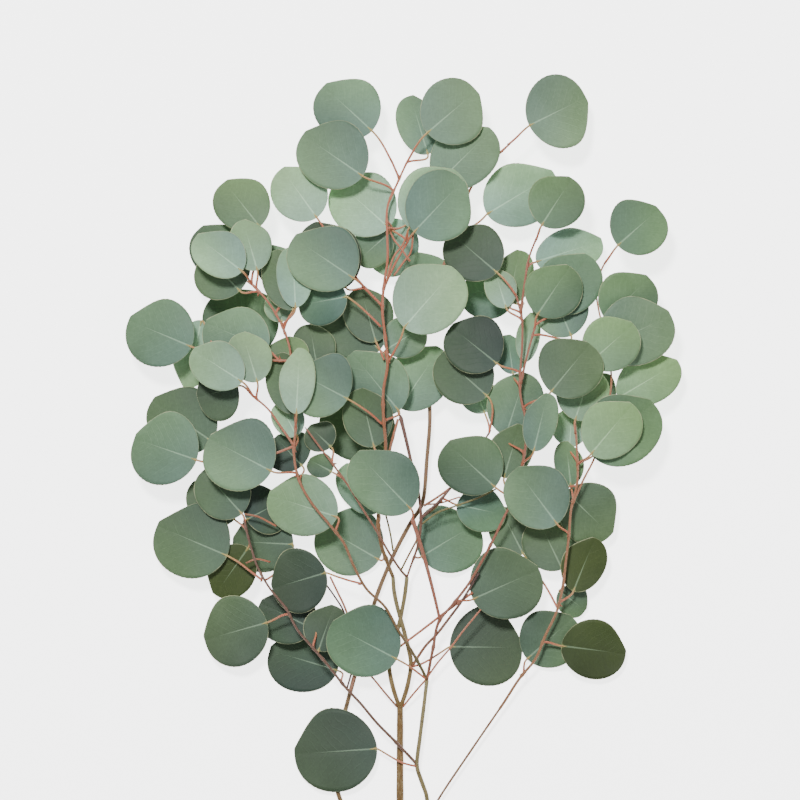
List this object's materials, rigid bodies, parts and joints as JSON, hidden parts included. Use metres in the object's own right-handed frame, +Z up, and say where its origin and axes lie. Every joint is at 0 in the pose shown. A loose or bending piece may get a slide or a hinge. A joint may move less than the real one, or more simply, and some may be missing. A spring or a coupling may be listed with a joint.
{
  "type": "eucalyptus branch",
  "caption": "Cut silver-dollar eucalyptus branch lying flat, woody stems carrying leafy sprays of round grey-green leaves, for display and arrangements.",
  "frame": {"origin": "on the table, under the middle of the branch's bounding box", "axes": "+Z up from the table, +Y from the cut end of the stem towards the leafy tips, +X to the right seen from above with the tips away"},
  "size_m": [0.4756, 0.708, 0.0613],
  "materials": {
    "leaf": "matt, waxy bloom over a leathery blade, paler midrib",
    "bark": "thin matt bark, brown and olive"
  },
  "bodies": {
    "root": {"woody_stems": "bark", "crown_spray": "leaf", "upper_left_spray": "leaf", "inner_left_spray": "leaf", "lower_left_spray": "leaf", "middle_spray": "leaf", "inner_right_spray": "leaf", "outer_right_spray": "leaf", "upper_right_spray": "leaf"}
  },
  "joints": []
}
